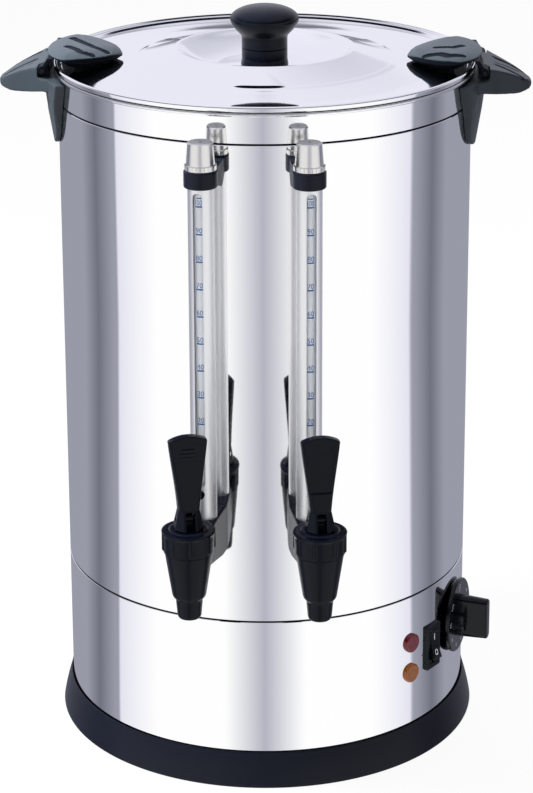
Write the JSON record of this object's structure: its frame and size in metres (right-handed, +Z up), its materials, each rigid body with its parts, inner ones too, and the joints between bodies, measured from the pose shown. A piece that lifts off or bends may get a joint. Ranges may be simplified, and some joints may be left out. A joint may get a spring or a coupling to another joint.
{
  "type": "coffee urn",
  "caption": "Double-walled percolator urn that heats water, brews coffee and pours it through self-closing taps under sight gauges.",
  "frame": {"origin": "centre of the base ring's underside, on the urn's axis", "axes": "+Z up along the urn's axis, -Y towards the user between the taps, handles on -X and +X"},
  "size_m": [0.361, 0.3589, 0.5083],
  "materials": {
    "black_moulding": "fine moulded grain",
    "plated_steel": "zinc plated",
    "rubber": "matt",
    "screw_steel": "plated",
    "black_screw": "black oxide",
    "spring_steel": "drawn wire",
    "polished_steel": "polished stainless steel",
    "tank_steel": "brushed stainless steel",
    "cast_aluminium": "cast",
    "element_sheath": "heat-stained sheath",
    "ceramic_white": "glazed",
    "nylon_white": "moulded nylon",
    "red_lens": "clear red moulding",
    "amber_lens": "clear amber moulding",
    "black_gloss": "smooth",
    "rocker_black": "smooth",
    "black_knob": "smooth phenolic",
    "silicone": "translucent silicone",
    "gauge_glass": "clear",
    "chrome_trim": "bright",
    "handle_black": "fine grain",
    "lever_grey": "fine grain",
    "black_tap": "smooth",
    "guard_aluminium": "satin extruded"
  },
  "bodies": {
    "urn": {"base_ring": "black_moulding", "bottom_plate": "plated_steel", "rubber_feet": "rubber", "bottom_screws": "screw_steel", "control_band": "polished_steel", "main_jacket": "polished_steel", "top_collar": "polished_steel", "inner_tank": "tank_steel", "heat_spreader": "cast_aluminium", "heating_element": "element_sheath", "thermal_cutout": "ceramic_white", "terminal_block": "nylon_white", "heating_lamp": "red_lens", "warm_lamp": "amber_lens", "rocker_frame": "black_gloss", "thermostat_body": "nylon_white", "cord_gland": "black_moulding", "handle_screws": "screw_steel", "lock_pins": "screw_steel", "tap_nuts": "nylon_white", "tap_washers": "silicone", "gauge_glasses": "gauge_glass", "gauge_seals": "silicone", "gauge_screws": "black_screw", "gauge_caps": "chrome_trim", "bracket_screws": "screw_steel", "perk_tube": "tank_steel", "handle_left": "handle_black", "handle_right": "handle_black", "tap_body_left": "black_tap", "tap_body_right": "black_tap", "tap_bonnet_left": "black_tap", "tap_bonnet_right": "black_tap", "gauge_shield_left": "guard_aluminium", "gauge_shield_right": "guard_aluminium", "gauge_bracket_left": "black_moulding", "gauge_bracket_right": "black_moulding"},
    "lid": {"lid_pan": "polished_steel", "lid_knob": "black_knob", "knob_base": "black_knob", "knob_washer": "screw_steel", "knob_screw": "screw_steel"},
    "lock_lever_left": {"lock_lever_left": "lever_grey"},
    "lock_lever_right": {"lock_lever_right": "lever_grey"},
    "tap_valve_left": {"tap_seat_cup_left": "silicone", "tap_spring_left": "spring_steel"},
    "tap_valve_right": {"tap_seat_cup_right": "silicone", "tap_spring_right": "spring_steel"},
    "tap_stem_left": {"tap_stem_left": "black_tap", "tap_pin_left": "screw_steel"},
    "tap_stem_right": {"tap_stem_right": "black_tap", "tap_pin_right": "screw_steel"},
    "tap_handle_left": {"tap_handle_left": "black_tap"},
    "tap_handle_right": {"tap_handle_right": "black_tap"},
    "rocker": {"rocker": "rocker_black"},
    "thermostat_dial": {"thermostat_knob": "black_gloss", "thermostat_shaft": "screw_steel"},
    "basket": {"coffee_basket": "tank_steel", "basket_cover": "tank_steel"}
  },
  "joints": [
    {"name": "lid_lift", "type": "slide", "parent": "urn", "child": "lid", "axis": [0, 0, 1], "range_m": [0, 0.016]},
    {"name": "lock_lever_left", "type": "hinge", "parent": "urn", "child": "lock_lever_left", "pos_m": [-0.1475, 0, 0.4695], "axis": [0, -1, 0], "range_deg": [0, 72]},
    {"name": "lock_lever_right", "type": "hinge", "parent": "urn", "child": "lock_lever_right", "pos_m": [0.1475, 0, 0.4695], "axis": [0, 1, 0], "range_deg": [0, 72]},
    {"name": "tap_lift_left", "type": "slide", "parent": "urn", "child": "tap_valve_left", "axis": [0, 0, 1], "range_m": [0, 0.0042], "stiffness_N_per_m": 900, "springref_m": -0.008, "deforming": ["tap_spring_left"]},
    {"name": "tap_swivel_left", "type": "hinge", "parent": "tap_valve_left", "child": "tap_stem_left", "pos_m": [-0.04184, -0.19353, 0.217], "axis": [0, 0, 1], "continuous": true},
    {"name": "tap_handle_left", "type": "hinge", "parent": "tap_stem_left", "child": "tap_handle_left", "pos_m": [-0.04184, -0.19353, 0.217], "axis": [0.9622, 0.2723, 0], "range_deg": [0, 27]},
    {"name": "tap_lift_right", "type": "slide", "parent": "urn", "child": "tap_valve_right", "axis": [0, 0, 1], "range_m": [0, 0.0042], "stiffness_N_per_m": 900, "springref_m": -0.008, "deforming": ["tap_spring_right"]},
    {"name": "tap_swivel_right", "type": "hinge", "parent": "tap_valve_right", "child": "tap_stem_right", "pos_m": [0.04184, -0.19353, 0.217], "axis": [0, 0, 1], "continuous": true},
    {"name": "tap_handle_right", "type": "hinge", "parent": "tap_stem_right", "child": "tap_handle_right", "pos_m": [0.04184, -0.19353, 0.217], "axis": [0.9774, 0.2113, 0], "range_deg": [0, 27]},
    {"name": "rocker_tip", "type": "hinge", "parent": "urn", "child": "rocker", "pos_m": [0.11229, -0.07404, 0.0744], "axis": [0.5505, 0.8348, 0], "range_deg": [0, 20]},
    {"name": "dial_turn", "type": "hinge", "parent": "urn", "child": "thermostat_dial", "pos_m": [0.13467, -0.04376, 0.0825], "axis": [-0.9511, 0.309, 0], "range_deg": [0, 270]},
    {"name": "basket_lift", "type": "slide", "parent": "urn", "child": "basket", "axis": [0, 0, 1], "range_m": [0, 0.012]}
  ],
  "couplings": [
    {"joint": "lock_lever_left", "follows": "lid_lift", "rad_per_m": 78.54},
    {"joint": "tap_handle_left", "follows": "tap_lift_left", "rad_per_m": 112.2},
    {"joint": "lock_lever_right", "follows": "lid_lift", "rad_per_m": 78.54},
    {"joint": "tap_handle_right", "follows": "tap_lift_right", "rad_per_m": 112.2}
  ]
}
